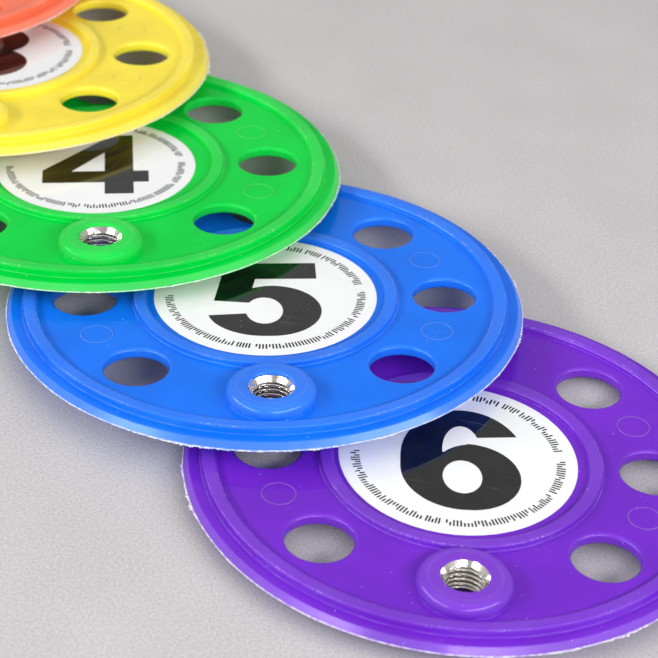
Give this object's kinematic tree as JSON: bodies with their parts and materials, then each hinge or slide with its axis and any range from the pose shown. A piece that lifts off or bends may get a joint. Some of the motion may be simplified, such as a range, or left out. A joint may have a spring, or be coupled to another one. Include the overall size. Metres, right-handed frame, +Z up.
{
  "type": "numbered dive disc set",
  "caption": "Round numbered sinking discs with holes, raised rings and a weighted boss, laid out as an overlapping fan.",
  "frame": {"origin": "on the floor under the middle of the fan's bounding box", "axes": "+Z up; the fan runs from the lowest disc at +X -Y to the last disc at -X +Y, and the bosses point roughly along -Y"},
  "size_m": [0.5164, 0.6073, 0.0349],
  "materials": {
    "plastic_purple": "semi-gloss moulded plastic, lightly scuffed",
    "plastic_blue": "semi-gloss moulded plastic, lightly scuffed",
    "plastic_green": "semi-gloss moulded plastic, lightly scuffed",
    "plastic_yellow": "semi-gloss moulded plastic, lightly scuffed",
    "plastic_orange": "semi-gloss moulded plastic, lightly scuffed",
    "plastic_red": "semi-gloss moulded plastic, lightly scuffed",
    "steel": "bright zinc-plated steel thread",
    "film": "glossy white vinyl film",
    "ink": "glossy black print"
  },
  "bodies": {
    "diver_6": {"disc_6": "plastic_purple", "nut_6": "steel", "label_6": "film", "numeral_6": "ink"},
    "diver_5": {"disc_5": "plastic_blue", "nut_5": "steel", "label_5": "film", "numeral_5": "ink"},
    "diver_4": {"disc_4": "plastic_green", "nut_4": "steel", "label_4": "film", "numeral_4": "ink"},
    "diver_3": {"disc_3": "plastic_yellow", "nut_3": "steel", "label_3": "film", "numeral_3": "ink"},
    "diver_2": {"disc_2": "plastic_orange", "nut_2": "steel", "label_2": "film", "numeral_2": "ink"},
    "diver_1": {"disc_1": "plastic_red", "nut_1": "steel", "label_1": "film", "numeral_1": "ink"}
  },
  "joints": [
    {"name": "lift_5", "type": "slide", "parent": "diver_6", "child": "diver_5", "axis": [0, 0, 1], "range_m": [0, 0.03]},
    {"name": "lift_4", "type": "slide", "parent": "diver_5", "child": "diver_4", "axis": [0, 0, 1], "range_m": [0, 0.03]},
    {"name": "lift_3", "type": "slide", "parent": "diver_4", "child": "diver_3", "axis": [0, 0, 1], "range_m": [0, 0.03]},
    {"name": "lift_2", "type": "slide", "parent": "diver_3", "child": "diver_2", "axis": [0, 0, 1], "range_m": [0, 0.03]},
    {"name": "lift_1", "type": "slide", "parent": "diver_2", "child": "diver_1", "axis": [0, 0, 1], "range_m": [0, 0.03]}
  ]
}
